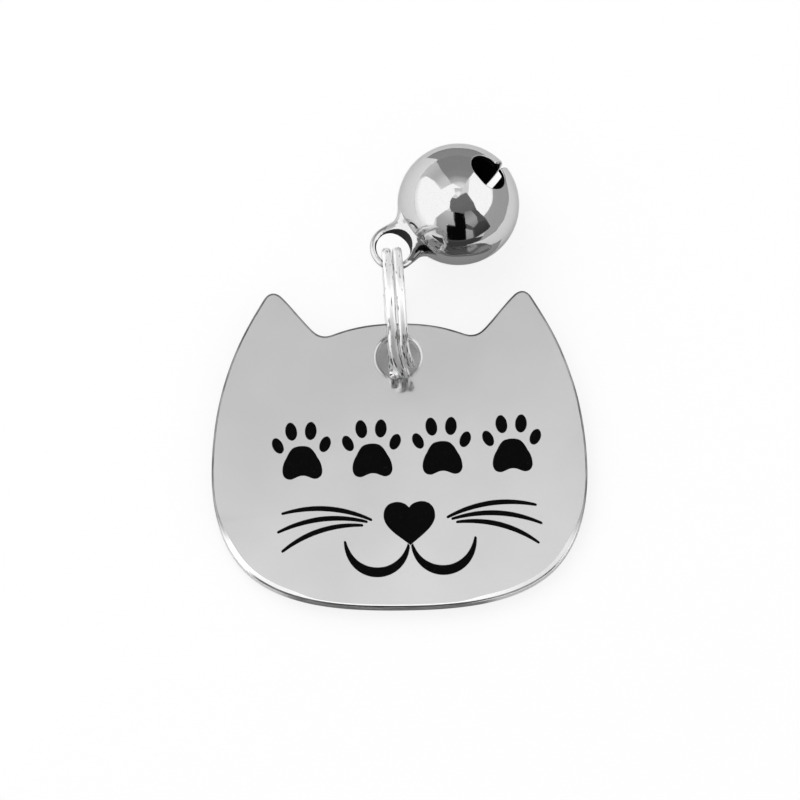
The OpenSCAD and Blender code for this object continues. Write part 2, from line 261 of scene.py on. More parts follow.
def weld(bm, mesh, distance):
    bmesh.ops.remove_doubles(bm, verts=bm.verts, dist=distance)
    bmesh.ops.recalc_face_normals(bm, faces=bm.faces)
    bm.to_mesh(mesh)
    bm.free()


class Skin:
    """Points with a normal each, joined by faces and welded into one mesh at the end.

    A point can have a mark, three numbers that a material reads. Each face has a material's slot.
    """

    def __init__(self):
        self.points = []
        self.normals = []
        self.marks = []
        self.faces = []
        self.slots = []

    def loop(self, points, normals=None, marks=None):
        start = len(self.points)
        self.points += points
        self.normals += normals or [Vector()] * len(points)
        self.marks += marks or [Vector()] * len(points)
        return list(range(start, len(self.points)))

    def again(self, loop, normals, marks=None):
        """The points of a loop once more, as the other side of a sharp edge."""
        return self.loop([self.points[i] for i in loop], normals, marks)

    def middle(self, loop):
        return sum((self.points[i] for i in loop), Vector()) / len(loop)

    def strip(self, low, high, slot=0):
        for i in range(len(low)):
            j = (i + 1) % len(low)
            self.faces.append((low[i], low[j], high[j], high[i]))
            self.slots.append(slot)

    def strips(self, loops, slot=0):
        for low, high in zip(loops, loops[1:]):
            self.strip(low, high, slot)

    def fan(self, loop, tip, slot=0):
        for i, corner in enumerate(loop):
            self.faces.append((corner, loop[(i + 1) % len(loop)], tip))
            self.slots.append(slot)

    def fill(self, outer, holes=(), flat=flat_xy, slot=0, inner=()):
        """Triangles between an outer loop and the holes in it. flat maps a point to the plane.

        inner are further points that the triangles have to use.
        """
        loops = [outer, *holes]
        used = [i for loop in loops for i in loop] + list(inner)
        place = {i: k for k, i in enumerate(used)}
        edges = [(place[a], place[b]) for loop in loops for a, b in zip(loop, loop[1:] + loop[:1])]
        flats = [flat(self.points[i]) for i in used]
        points, _, faces, sources, _, _ = delaunay_2d_cdt(flats, edges, [], 0, 1e-9)
        rims = [[flats[place[i]] for i in loop] for loop in loops]
        for face in faces:
            middle = sum((points[k] for k in face), Vector((0, 0))) / len(face)
            if inside(middle, rims[0]) and not any(inside(middle, rim) for rim in rims[1:]):
                self.faces.append(tuple(used[sources[k][0]] for k in face))
                self.slots.append(slot)

    def build(self, name, place, materials):
        mesh = bpy.data.meshes.new(name)
        mesh.from_pydata([MM * (place @ p) for p in self.points], [], self.faces)
        rotation = place.to_3x3()
        bm = bmesh.new()
        bm.from_mesh(mesh)
        normal_layer = bm.loops.layers.float_vector.new("made_normal")
        mark_layer = bm.loops.layers.float_vector.new("mark")
        for face, slot in zip(bm.faces, self.slots):
            face.material_index = slot
            face.smooth = True
            for corner in face.loops:
                corner[normal_layer] = rotation @ self.normals[corner.vert.index]
                corner[mark_layer] = self.marks[corner.vert.index]
        weld(bm, mesh, WELD)
        made = [tuple(corner.vector) for corner in mesh.attributes["made_normal"].data]
        mesh.attributes.remove(mesh.attributes["made_normal"])
        mesh.normals_split_custom_set(made)
        for material in materials:
            mesh.materials.append(material)
        return placed(name, mesh)


def inside(point, rim):
    """Whether a point of the plane lies inside a closed rim."""
    x, y = point
    crossings = 0
    for (x0, y0), (x1, y1) in zip(rim, rim[1:] + rim[:1]):
        if (y0 > y) != (y1 > y) and x < x0 + (y - y0) / (y1 - y0) * (x1 - x0):
            crossings += 1
    return crossings % 2 == 1


def bezier(p, t):
    u = 1 - t
    return p[0] * u ** 3 + 3 * p[1] * t * u ** 2 + 3 * p[2] * t ** 2 * u + p[3] * t ** 3


def mirrored_curve(rows, steps):
    """A closed outline whose right half is a chain of cubic curves that starts and ends on x = 0."""
    half = [
        bezier(rows[s:s + 4], k / steps) for s in range(0, len(rows) - 3, 3) for k in range(steps)]
    half.append(rows[-1])
    left = [Vector((-p.x, p.y)) for p in reversed(half) if p.x > 0]
    return half + left


def outwards(points):
    """For each point of a closed outline that runs clockwise, the direction out of it."""
    count = len(points)
    runs = [(points[(i + 1) % count] - points[i - 1]).normalized() for i in range(count)]
    return [Vector((-run.y, run.x)) for run in runs]


def grown(points, by):
    return [p + by * n for p, n in zip(points, outwards(points))]


# Artwork: each shape is a closed loop in the artwork's own plane, grown by a small length

def nose_shape(by):
    rows = [Vector((x * NOSE_W, y * NOSE_H + NOSE_GAP)) for x, y in NOSE_SHARES]
    return grown(mirrored_curve(rows, CURVE_STEPS), by)


def left_of(p, t):
    """Direction to the left of a cubic curve, square to it."""
    u = 1 - t
    run = ((p[1] - p[0]) * u ** 2 + 2 * (p[2] - p[1]) * t * u + (p[3] - p[2]) * t ** 2).normalized()
    return Vector((-run.y, run.x))


def stroke(rows, line):
    """A stroke along a cubic curve, thickest at its middle, with round ends."""
    places = [k / (2 * CURVE_STEPS) for k in range(2 * CURVE_STEPS + 1)]

    def side(sign):
        widths = [STROKE_TIP + (line - STROKE_TIP) * (1 - (2 * t - 1) ** 2) for t in places]
        return [bezier(rows, t) + sign * left_of(rows, t) * w / 2 for t, w in zip(places, widths)]

    def cap(t, sign):
        out = sign * left_of(rows, t)
        ahead = Vector((out.y, -out.x))
        angles = [180 * k / CAP_STEPS for k in range(1, CAP_STEPS)]
        return [bezier(rows, t) + STROKE_TIP / 2 * (out * cos(a) + ahead * sin(a)) for a in angles]

    return side(1) + cap(1, 1) + side(-1)[::-1] + cap(0, -1)


def flipped(loop, side):
    """The loop itself, or its mirror image in x = 0 with the same sense of rotation."""
    return loop if side > 0 else [Vector((-p.x, p.y)) for p in reversed(loop)]


def cut_below(loop, start, up):
    """The part of a closed loop below a line that goes through start, square to up."""
    kept = []
    corners = []
    for a, b in zip(loop, loop[1:] + loop[:1]):
        over_a = (a - start).dot(up)
        over_b = (b - start).dot(up)
        if over_a <= 0:
            kept.append(a)
        if (over_a <= 0) != (over_b <= 0):
            corners.append(a + (b - a) * over_a / (over_a - over_b))
            kept.append(corners[-1])
    return [p for p in kept if p in corners or min((p - c).length for c in corners) > CUT_STEP]


def mouth_shape(side, by):
    """One half of the mouth, cut off along the nose's flank."""
    rows = [Vector((x * MOUTH_W, y * MOUTH_SAG)) for x, y in MOUTH_SHARES]
    loop = stroke(rows + [Vector((MOUTH_W, MOUTH_LIFT))], MOUTH_LINE)
    flank = Vector((NOSE_SHARES[5][0] * NOSE_W, NOSE_SHARES[5][1] * NOSE_H)).normalized()
    seam = cut_below(loop, Vector((0, NOSE_GAP - MOUTH_CLEAR)), Vector((-flank.y, flank.x)))
    return flipped(grown(seam, by), side)


def whisker_shape(side, row, by):
    start, end = (Vector(p) * MOUTH_W for p in WHISKER_SHARES[row])
    run = end - start
    bow = Vector((-run.y, run.x)).normalized() * WHISKER_BOW * 4 / 3
    loop = stroke([start, start + run / 3 + bow, start + run * 2 / 3 + bow, end], WHISKER_LINE)
    return flipped(grown(loop, by), side)


def paw_middle(place):
    return Vector(((place - 1.5) * PAW_PITCH, PAW_UP))


def pad_shape(place, by):
    rows = [Vector((x * PAW_W, y * PAW_H)) for x, y in PAD_SHARES]
    return [p + paw_middle(place) for p in grown(mirrored_curve(rows, CURVE_STEPS), by)]


def toe_shape(place, side, toe, by):
    x, y, half_w, half_h = TOE_SHARES[toe]
    lean = Matrix.Rotation(rad(TOE_LEANS[toe]), 2)
    centre = Vector((x * PAW_W, y * PAW_H))
    half_w = half_w * PAW_W + by
    half_h = half_h * PAW_H + by
    loop = [centre + lean @ Vector((half_w * p.x, -half_h * p.y)) for p in circle(1, 2 * CURVE_STEPS)]
    return [p + paw_middle(place) for p in flipped(loop, side)]


def paw_shapes(place, by):
    return [pad_shape(place, by)] + [
        toe_shape(place, side, toe, by) for side in (1, -1) for toe in (0, 1)]


ARTWORK = {
    "nose_fill": lambda by: [nose_shape(by)],
    "mouth_fill": lambda by: [mouth_shape(side, by) for side in (1, -1)],
    "left_whiskers_fill": lambda by: [whisker_shape(-1, row, by) for row in range(3)],
    "right_whiskers_fill": lambda by: [whisker_shape(1, row, by) for row in range(3)],
}
for paw in range(4):
    ARTWORK[f"paw_fill_{paw + 1}"] = lambda by, place=paw: paw_shapes(place, by)


def engraved(node, by):
    """The loops of one node's artwork in the plate's plane."""
    return [[flat_xy(ON_ARTWORK @ p.to_3d()) for p in loop] for loop in ARTWORK[node](by)]


# Materials

def feed(tree, socket, value):
    """Links a socket to another one, or sets its constant."""
    if isinstance(value, bpy.types.NodeSocket):
        tree.links.new(value, socket)
    else:
        socket.default_value = value


def worked_out(tree, kind, operation, *values):
    """What a math node or a vector math node makes of its values."""
    made = tree.nodes.new("ShaderNode" + kind)
    made.operation = operation
    for socket, value in zip(made.inputs, values):
        feed(tree, socket, value)
    return next(output for output in made.outputs if output.enabled)


class Paint:
    """A material whose constants sit on the shader and whose detail comes from noise nodes."""

    def __init__(self, name, **constants):
        self.material = bpy.data.materials.new(name)
        self.material.use_nodes = True
        self.tree = self.material.node_tree
        self.shader = self.tree.nodes["Principled BSDF"]
        for socket, value in constants.items():
            self.shader.inputs[socket.replace("_", " ")].default_value = value

    def node(self, kind, **inputs):
        made = self.tree.nodes.new("ShaderNode" + kind)
        for socket, value in inputs.items():
            feed(self.tree, made.inputs[socket.replace("_", " ")], value)
        return made

    def space(self, stretch=(1, 1, 1)):
        """Object coordinates in millimetres, stretched along each axis."""
        vector = self.node("TexCoord").outputs["Object"]
        return self.node("Mapping", Vector=vector, Scale=Vector(stretch) / MM).outputs["Vector"]

    def mark(self, stretch=(1, 1, 1)):
        """The marks of a skin, stretched along each axis."""
        source = self.node("Attribute")
        source.attribute_name = "mark"
        vector = source.outputs["Vector"]
        return self.node("Mapping", Vector=vector, Scale=stretch).outputs["Vector"]

    def noise(self, vector, scale, detail=3.0, roughness=0.5):
        made = self.node("TexNoise", Vector=vector, Scale=scale, Detail=detail, Roughness=roughness)
        return made.outputs["Fac"]

    def ranged(self, value, low, high, from_low=0.0, from_high=1.0):
        return self.node(
            "MapRange", Value=value, From_Min=from_low, From_Max=from_high, To_Min=low,
            To_Max=high).outputs["Result"]

    def set(self, socket, value):
        self.tree.links.new(value, self.shader.inputs[socket])

    def show(self, shader):
        self.tree.links.new(shader, self.tree.nodes["Material Output"].inputs["Surface"])

    def bump(self, height, distance, strength=1.0, under=(0, 0, 0)):
        return self.node(
            "Bump", Height=height, Distance=distance * MM, Strength=strength,
            Normal=under).outputs["Normal"]

    def greys(self, value, dark, light, low, high):
        """A grey that goes from dark to light while the value goes from low to high."""
        ramp = self.node("ValToRGB", Fac=value)
        first, last = ramp.color_ramp.elements
        first.position = low
        first.color = grey(dark)
        last.position = high
        last.color = grey(light)
        return ramp.outputs["Color"]


def grey(value):
    return (value, value, value, 1)


def plate_steel():
    """Polished stainless steel with a slight haze, faint buffing lines and soft waves."""
    paint = Paint("polished_steel", Metallic=0.8, Specular_IOR_Level=0.2)
    space = paint.space()
    cloud = paint.noise(space, 0.12, 2.0)
    buffing = paint.noise(paint.space((0.35, 9.0, 1)), 3.0, 4.0, 0.6)
    paint.set("Base Color", paint.greys(cloud, 0.54, 0.59, 0.3, 0.7))
    paint.set("Roughness", paint.ranged(buffing, 0.05, 0.11, 0.3, 0.7))
    paint.set("Normal", paint.bump(buffing, 0.0006, 0.5, paint.bump(cloud, 0.02, 0.4)))
    return paint.material


def cut_steel():
    """The plate's edge: its base colour is painted bright or dark by the mark's third number, a
    painted reflection and shade, and is streaky where dark.
    """
    paint = Paint("cut_steel", Metallic=1.0)
    streaks = paint.noise(paint.mark((0.25, 9, 0)), 1.6, 3.0, 0.6)
    painted_light_share = paint.node("SeparateXYZ", Vector=paint.mark()).outputs["Z"]
    dark = paint.ranged(streaks, 0.02, 0.3, 0.38, 0.62)
    # The mark's third number paints light on the edge: a painted reflection where it is 1, painted
    # shade where it is 0.
    paint.set("Base Color", paint.ranged(painted_light_share, dark, 0.84))
    paint.set("Roughness", paint.ranged(painted_light_share, 0.4, 0.1))
    paint.set("Normal", paint.bump(streaks, 0.004, 0.6))
    return paint.material


def plated(name, level, wave, wave_scale, rough_low, rough_high):
    """Bright nickel plating over metal that was pressed or drawn, so it isn't quite even."""
    paint = Paint(name, Metallic=1.0, Specular_Tint=grey(0.72))
    space = paint.space()
    swell = paint.noise(space, wave_scale, 2.0)
    fine = paint.noise(space, 14.0, 3.0, 0.6)
    paint.set("Base Color", paint.greys(fine, level * 0.94, level * 1.04, 0.35, 0.65))
    paint.set("Roughness", paint.ranged(fine, rough_low, rough_high, 0.35, 0.65))
    paint.set("Normal", paint.bump(fine, 0.0008, 0.5, paint.bump(swell, wave)))
    return paint.material


# Where along Y the ring's wire has the most painted shade, by the plate's hole, and from where it is
# bright
PAINTED_SHADE_TO = 1.4
BRIGHT_FROM = 3.4


def drawn_wire():
    """Plated spring wire with drawing lines along it, given painted shade where it runs through the
    plate's hole.
    """
    paint = Paint("ring_wire", Specular_IOR_Level=0.3)
    lines = paint.noise(paint.mark((0.12, 1, 1)), 6.0, 3.0, 0.6)
    space = paint.space()
    fine = paint.noise(space, 12.0)
    ahead = paint.node("SeparateXYZ", Vector=space).outputs["Y"]
    # Painted shade: more dark lines on the wire where it runs through the plate's hole.
    darker = paint.ranged(ahead, 0.06, 0, PAINTED_SHADE_TO, BRIGHT_FROM)
    lines_and_shade = worked_out(paint.tree, "Math", "SUBTRACT", lines, darker)
    paint.set("Metallic", paint.ranged(ahead, 0.75, 0.55, PAINTED_SHADE_TO, BRIGHT_FROM))
    paint.set("Base Color", paint.greys(lines_and_shade, 0.04, 0.95, 0.34, 0.38))
    paint.set("Roughness", paint.ranged(fine, 0.3, 0.42, 0.3, 0.7))
    paint.set("Normal", paint.bump(lines, 0.025))
    return paint.material


def bell_inside():
    """Bare, dark oxidised metal inside the ball. On the inside of the eye's hole the same dark is
    painted shade.
    """
    paint = Paint("dark_inside", Metallic=0.3)
    stains = paint.noise(paint.space(), 1.2, 4.0)
    paint.set("Base Color", paint.greys(stains, 0.0008, 0.003, 0.3, 0.7))
    paint.set("Roughness", paint.ranged(stains, 0.7, 0.95))
    paint.set("Normal", paint.bump(stains, 0.01, 0.5))
    return paint.material


def enamel():
    """Baked black paint: grainy, with a few bright specks where the engraving shows through."""
    paint = Paint("black_enamel", Specular_IOR_Level=0.03)
    space = paint.space()
    grain = paint.noise(space, 9.0, 4.0, 0.7)
    specks = paint.noise(space, 16.0, 2.0)
    paint.set("Base Color", paint.greys(specks, 0.0015, 0.12, 0.7, 0.8))
    paint.set("Roughness", paint.ranged(grain, 0.45, 0.75, 0.3, 0.7))
    paint.set("Normal", paint.bump(grain, 0.02, 0.7))
    return paint.material


def pea_steel():
    paint = Paint("pea_steel", Metallic=1.0)
    stains = paint.noise(paint.space(), 2.0, 4.0)
    paint.set("Base Color", paint.greys(stains, 0.01, 0.03, 0.35, 0.7))
    paint.set("Roughness", paint.ranged(stains, 0.35, 0.6))
    return paint.material


# Pieces

def rounding(radius):
    """Steps round a quarter edge: how far inwards, how far along, and the angle of the normal."""
    angles = [90 * k / ROUND_STEPS for k in range(ROUND_STEPS + 1)]
    return [(radius * (1 - sin(a)), radius * (1 - cos(a)), a) for a in angles]


HOLE_STEPS = 96


def bore_wall(skin):
    """The wall of the hanging hole with two rounded edges, from the lower face to the upper one."""
    hole = circle(HOLE_R, HOLE_STEPS)
    out = [-p.normalized() for p in hole]
    loops = []
    for upper in (False, True):
        rows = rounding(HOLE_ROUND)
        for inwards, along, a in (reversed(rows) if upper else rows):
            z = PLATE_T - along if upper else along
            lean = cos(a) * (1 if upper else -1)
            points = raised([p - inwards * n for p, n in zip(hole, out)], z)
            normals = [Vector((n.x * sin(a), n.y * sin(a), lean)) for n in out]
            loops.append(skin.loop(points, normals))
    skin.strips(loops)
    return loops[0], loops[-1]


# The plate's outer edge. Tones go from 0, painted shade, to 1, a painted reflection of the bright
# floor. An edge faces the chin where its normal's Y is under -CHIN_FROM, and fully so after CHIN_FADE
# more
TOP_ROUND = 0.14
CHIN_FROM = 0.15
CHIN_FADE = 0.35
BUFFED_W = 0.3
BUFFED_LEAST_W = 0.03
BUFFED_TILT = 3
PAINTED_EDGE_SHADE = 0.08
PAINTED_WALL_SHADE = 0.5

# Stretches of the chin along X, each with its fade: wall with painted shade, rounding with painted
# shade and narrow band
PAINTED_SHADE_WALL = (-10.2, 8.3, 2.0)
PAINTED_SHADE_ROUND = (-12.5, 6.5, 1.5)
NARROW_BAND = (-9, 7, 2.5)
NARROWING = 0.8


def plate_edge(skin, rim, out):
    """The outer wall, whose upper edge is rounded off to a leaning band on both sides of the chin,
    where its tones are a painted reflection.
    """
    arcs = [0.0]
    for a, b in zip(rim, rim[1:]):
        arcs.append(arcs[-1] + (b - a).length)
    chins = [smooth((-n.y - CHIN_FROM) / CHIN_FADE) for n in out]
    # Painted reflection and shade in the tones. The lower rounding is dark all round. Facing the chin,
    # the wall, upper rounding and band are bright, except for a dark wall and rounding along the
    # chin's middle. Elsewhere they are dark, and the wall is half dark.
    walls = [mixed(PAINTED_WALL_SHADE, 1 - between(p.x, *PAINTED_SHADE_WALL), c) for c, p in zip(chins, rim)]
    rounds = [
        mixed(PAINTED_EDGE_SHADE, 1, c * (1 - between(p.x, *PAINTED_SHADE_ROUND))) for c, p in zip(chins, rim)]
    bands = [mixed(PAINTED_EDGE_SHADE, 1, c) for c in chins]
    widths = [
        mixed(BUFFED_LEAST_W, BUFFED_W, c * (1 - NARROWING * between(p.x, *NARROW_BAND)))
        for c, p in zip(chins, rim)]
    tilts = [BUFFED_TILT * c for c in chins]
    count = len(rim)

    def edge_loop(inwards, heights, angles, tones):
        points = [
            (p - i * n).to_3d() + z * UP for p, n, i, z in zip(rim, out, inwards, heights)]
        normals = [cos(a) * n.to_3d() + sin(a) * UP for n, a in zip(out, angles)]
        marks = [Vector((s, z, tone)) for s, z, tone in zip(arcs, heights, tones)]
        return skin.loop(points, normals, marks)

    edge = []
    for k in range(ROUND_STEPS + 1):
        a = 90 * k / ROUND_STEPS - 90
        inwards = EDGE_ROUND * (1 - cos(a))
        height = EDGE_ROUND * (1 + sin(a))
        tones = walls if k == ROUND_STEPS else [0] * count
        edge.append(edge_loop([inwards] * count, [height] * count, [a] * count, tones))
    for k in range(ROUND_STEPS + 1):
        angles = [(90 - t) * k / ROUND_STEPS for t in tilts]
        inwards = [TOP_ROUND * (1 - cos(a)) for a in angles]
        heights = [
            PLATE_T - w * math.tan(rad(t)) - TOP_ROUND * (cos(t) - sin(a))
            for w, t, a in zip(widths, tilts, angles)]
        edge.append(edge_loop(inwards, heights, angles, rounds if k else walls))
    marks = [Vector((s, PLATE_T, tone)) for s, tone in zip(arcs, bands)]
    band = [skin.again(edge[-1], [skin.normals[i] for i in edge[-1]], marks)]
    insets = [w + TOP_ROUND * (1 - sin(t)) for w, t in zip(widths, tilts)]
    band.append(edge_loop(insets, [PLATE_T] * count, [90 - t for t in tilts], bands))
    skin.strips(edge, 1)
    skin.strips(band, 1)
    return edge[0], band[-1]


def tag_plate(steel, cut):
    skin = Skin()
    rows = [
        Vector((a * TAG_W / 2 + b * EAR_SPAN / 2, c * FACE_H + d * EAR_RISE - HOLE_UP))
        for a, b, c, d in OUTLINE_SHARES]
    rim = mirrored_curve(rows, OUTLINE_STEPS)
    outline = plate_edge(skin, rim, outwards(rim))
    bore = bore_wall(skin)
    for level, normal in enumerate((-UP, UP)):
        rims = [skin.again(ends[level], [normal] * len(ends[level])) for ends in (outline, bore)]
        if level == 1:
            for node in ARTWORK:
                rims += pocket_walls(skin, node)
        skin.fill(rims[0], rims[1:])
    piece = skin.build("polished_plate", ON_PLATE, [steel, cut])
    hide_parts("tag_plate")
    return piece


POCKET_LIP = 0.02


def pocket_walls(skin, node):
    """The walls and floors of one node's engraved pockets. Returns their rims in the face."""
    rims = []
    floor = PLATE_T - ENGRAVE_DEPTH
    for wide, plain in zip(engraved(node, POCKET_LIP), engraved(node, 0)):
        up = [UP] * len(plain)
        inwards = [-n.to_3d() for n in outwards(plain)]
        leaning = [(n + UP).normalized() for n in inwards]
        rims.append(skin.loop(raised(wide, PLATE_T), up))
        lip = skin.loop(raised(wide, PLATE_T), leaning)
        top = skin.loop(raised(plain, PLATE_T - POCKET_LIP), leaning)
        skin.strip(lip, top)
        top = skin.loop(raised(plain, PLATE_T - POCKET_LIP), inwards)
        bottom = skin.loop(raised(plain, floor), inwards)
        skin.strip(top, bottom)
        skin.fill(skin.loop(raised(plain, floor), up))
    return rims


ENAMEL_CLEAR = 0.004
ENAMEL_RIM = 0.05
ENAMEL_CREEP = 0.02
ENAMEL_LEAN = 0.5


def enamel_piece(node, black):
    """Paint in the pockets: it creeps up the walls and lies a little lower in the middle."""
    skin = Skin()
    floor = PLATE_T - ENGRAVE_DEPTH
    top = floor + ENAMEL_T
    for rim, inner in zip(engraved(node, -ENAMEL_CLEAR), engraved(node, -ENAMEL_RIM)):
        out = [n.to_3d() for n in outwards(rim)]
        low = skin.loop(raised(rim, floor), out)
        high = skin.loop(raised(rim, top), out)
        skin.strip(low, high)
        creep = skin.loop(raised(rim, top), [(UP - ENAMEL_LEAN * n).normalized() for n in out])
        level = skin.loop(raised(inner, top - ENAMEL_CREEP), [UP] * len(inner))
        skin.strip(creep, level)
        skin.fill(skin.again(level, [UP] * len(inner)))
        skin.fill(skin.loop(raised(rim, floor), [-UP] * len(rim)))
    piece = skin.build(node.replace("fill", "enamel"), ON_PLATE, [black])
    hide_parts(node)
    return piece


def crossing(a):
    """The wire's way from one lane to the other at the step between its turns."""
    step = smooth((STEP_FROM_ANGLE - a) / (STEP_FROM_ANGLE - STEP_TO_ANGLE))
    return RING_LANE * (1 - 2 * step)


def lane_at(a):
    """How far the wire runs off the ring's middle plane. Beside the step its ends are pushed aside."""
    if a > STEP_TO_ANGLE + 360:
        return crossing(a - 360) + 2 * RING_LANE
    if a < STEP_FROM_ANGLE - 360:
        return crossing(a + 360) - 2 * RING_LANE
    return crossing(a)


WIRE_STEP = 1.6
TIP_STEPS = 8
CORNER_STEPS = 6


def wire_section():
    """Points and normals round the rounded rectangle of the wire."""
    points = []
    normals = []
    for quarter in range(4):
        sx = 1 if quarter in (0, 3) else -1
        sy = 1 if quarter < 2 else -1
        for k in range(CORNER_STEPS + 1):
            a = 90 * (quarter + k / CORNER_STEPS)
            n = Vector((cos(a), sin(a)))
            centre = Vector((sx * (WIRE_T / 2 - WIRE_ROUND), sy * (WIRE_W / 2 - WIRE_ROUND)))
            points.append(centre + WIRE_ROUND * n)
            normals.append(n)
    return points, normals


def split_ring(metal):
    skin = Skin()
    points, normals = wire_section()
    tip_arc = math.degrees(END_TAPER_SHARE * WIRE_W / RING_MID_R)
    tips = [tip_arc * (1 - cos(90 * k / TIP_STEPS)) for k in range(TIP_STEPS)]
    straight = END_ANGLE - STOP_ANGLE - 2 * tip_arc
    count = math.ceil(straight / WIRE_STEP)
    angles = [END_ANGLE - t for t in tips]
    angles += [END_ANGLE - tip_arc - straight * k / count for k in range(count + 1)]
    angles += [STOP_ANGLE + t for t in reversed(tips)]
    loops = []
    for a in angles:
        arc = min(END_ANGLE - a, a - STOP_ANGLE)
        k = min(1.0, max(END_FLAT_SHARE, arc / tip_arc))
        size = math.sqrt(k * (2 - k))
        lane = lane_at(a)
        spoke = Vector((cos(a), sin(a), 0))
        ahead = Vector((-spoke.y, spoke.x, 0)) * (1 if a > 0 else -1)
        ring = [spoke * (RING_MID_R + p.x * size) + (lane + p.y * size) * UP for p in points]
        lean = [(spoke * n.x + n.y * UP) * size + ahead * (1 - k) for n in normals]
        marks = [Vector((rad(a) * RING_MID_R, p.x, p.y)) for p in points]
        loops.append(skin.loop(ring, [n.normalized() for n in lean], marks))
    skin.strips(loops)
    for loop in (loops[0], loops[-1]):
        ahead = sum((skin.normals[i] for i in loop), Vector()).normalized()
        flat = skin.again(loop, [ahead] * len(loop), [skin.marks[i] for i in loop])
        tip = skin.loop([skin.middle(loop)], [ahead], [skin.marks[loop[0]]])
        skin.fan(flat, tip[0])
    piece = skin.build("wound_ring", ON_RING, [metal])
    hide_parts("split_ring")
    return piece


# Ball: the opening is a slit over the nose with an oval at each end
SHEET_ROUND = 0.1
OVAL_STEPS = 28
SLIT_STEPS = 60
BAND_ANGLE = 100
BAND_STEPS = 180
BACK_STEPS = 48
FRONT_STEPS = 64
FREE_GAP = 0.16
LEAST_SIDES = 6


def oval_axes(side):
    across = Vector((side * cos(OVAL_ANGLE), 0, -sin(OVAL_ANGLE)))
    return across, Vector((side * sin(OVAL_ANGLE), 0, cos(OVAL_ANGLE)))


def opening(radius, by):
    """The closed edge of the opening on a ball of that radius, grown by a small length."""
    r = OVAL_L / 2 + by
    h = (OVAL_W - OVAL_L) / 2
    s = SLOT_W / 2 + by
    start = -r if s <= h else -math.sqrt(r ** 2 - (s - h) ** 2)
    reach = 180 if s <= h else 180 - math.degrees(math.asin((s - h) / r))
    arc = [reach * (1 - k / OVAL_STEPS) for k in range(OVAL_STEPS + 1)]
    upper = [Vector((r * cos(a), h + r * sin(a))) for a in arc]
    lower = [Vector((p.x, -p.y)) for p in reversed(upper)]
    oval = [Vector((start, s))] + upper + lower + [Vector((start, -s))]
    loop = []
    for side in (1, -1):
        across, axis = oval_axes(side)
        edge = []
        for p in oval:
            height = math.sqrt(radius ** 2 - p.length_squared)
            edge.append(across * p.x + Vector((0, side * p.y, 0)) + axis * height)
        loop += edge
        first = edge[-1]
        theta = math.atan2(first.x, first.z)
        ring = math.sqrt(radius ** 2 - first.y ** 2)
        for k in range(1, SLIT_STEPS):
            a = theta * (1 - 2 * k / SLIT_STEPS)
            loop.append(Vector((ring * math.sin(a), first.y, ring * math.cos(a))))
    return loop


def in_opening(p, by):
    turned = abs(math.degrees(math.atan2(p.x, p.z)))
    if p.z > 0 and abs(p.y) < SLOT_W / 2 + by and turned < OVAL_ANGLE:
        return True
    for side in (1, -1):
        across, axis = oval_axes(side)
        beyond = max(abs(p.y) - (OVAL_W - OVAL_L) / 2, 0)
        if p.dot(axis) > 0 and math.hypot(p.dot(across), beyond) < OVAL_L / 2 + by:
            return True
    return False


def latitude(radius, angle, count):
    return raised(circle(radius * sin(angle), count), radius * cos(angle))


def ball_side(skin, radius, rim, sign, slot):
    """One side of the ball's sheet: the front round the opening, and the back to the crown."""
    def flat(p):
        return Vector((p.x, p.y)) / (radius + p.z)

    def radial(points):
        return [sign * p.normalized() for p in points]

    band = latitude(radius, BAND_ANGLE, BAND_STEPS)
    band_loop = skin.loop(band, radial(band))
    free = []
    for k in range(1, FRONT_STEPS):
        angle = BAND_ANGLE * k / FRONT_STEPS
        count = max(LEAST_SIDES, round(BAND_STEPS * sin(angle)))
        free += [p for p in latitude(radius, angle, count) if not in_opening(p, FREE_GAP)]
    inner = skin.loop(free, radial(free))
    skin.fill(band_loop, [rim], flat, slot, inner)
    backs = [band_loop]
    for k in range(1, BACK_STEPS):
        points = latitude(radius, BAND_ANGLE + (180 - BAND_ANGLE) * k / BACK_STEPS, BAND_STEPS)
        backs.append(skin.loop(points, radial(points)))
    skin.strips(backs, slot)
    pole = skin.loop([-radius * UP], [-sign * UP])
    skin.fan(backs[-1], pole[0], slot)


def bell_body(plating, dark):
    skin = Skin()
    outer = BELL_R
    inner = BELL_R - BELL_WALL
    loops = []
    rows = [(inwards, outer - along, a, 1) for inwards, along, a in rounding(SHEET_ROUND)]
    rows += [(inwards, inner + along, a, -1) for inwards, along, a in reversed(rounding(SHEET_ROUND))]
    for by, radius, a, side in rows:
        edge = opening(radius, by)
        nearer = opening(radius, by - SHEET_ROUND / 2)
        normals = []
        for p, q in zip(edge, nearer):
            spoke = p.normalized()
            way = q - p
            way = (way - way.dot(spoke) * spoke).normalized()
            normals.append(side * cos(a) * spoke + sin(a) * way)
        loops.append(skin.loop(edge, normals))
    skin.strips(loops[:ROUND_STEPS + 2])
    skin.strips(loops[ROUND_STEPS + 1:], 1)
    ball_side(skin, outer, loops[0], 1, 0)
    ball_side(skin, inner, loops[-1], -1, 1)
    piece = skin.build("bell_ball", ON_SLOT, [plating, dark])
    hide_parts("bell_body")
    return piece


# Eye: sections of its neck from the hoop to the ball, each with how far it lies from the eye's
# middle, its half width in the eye's plane and its half thickness
NECK_ROWS = [
    (-0.9, 1.5, 0.2), (-0.4, 1.83, 0.27), (0.2, 1.91, 0.36), (0.7, 1.87, 0.52), (1.1, 1.82, 0.72),
    (1.4, 1.82, 0.88), (1.66, 1.92, 1.0), (1.9, 2.09, 1.08), (2.15, 2.32, 1.15), (2.42, 2.62, 1.2)]
NECK_POWER = 2.6
BORE_CLEAR = 0.06
NECK_SIDES = 64
HOOP_SIDES = 24
CUTTER_STEP = 3
BORE_FACING = 0.6
EYE_VOXEL = 0.045
EYE_SMOOTH = 12


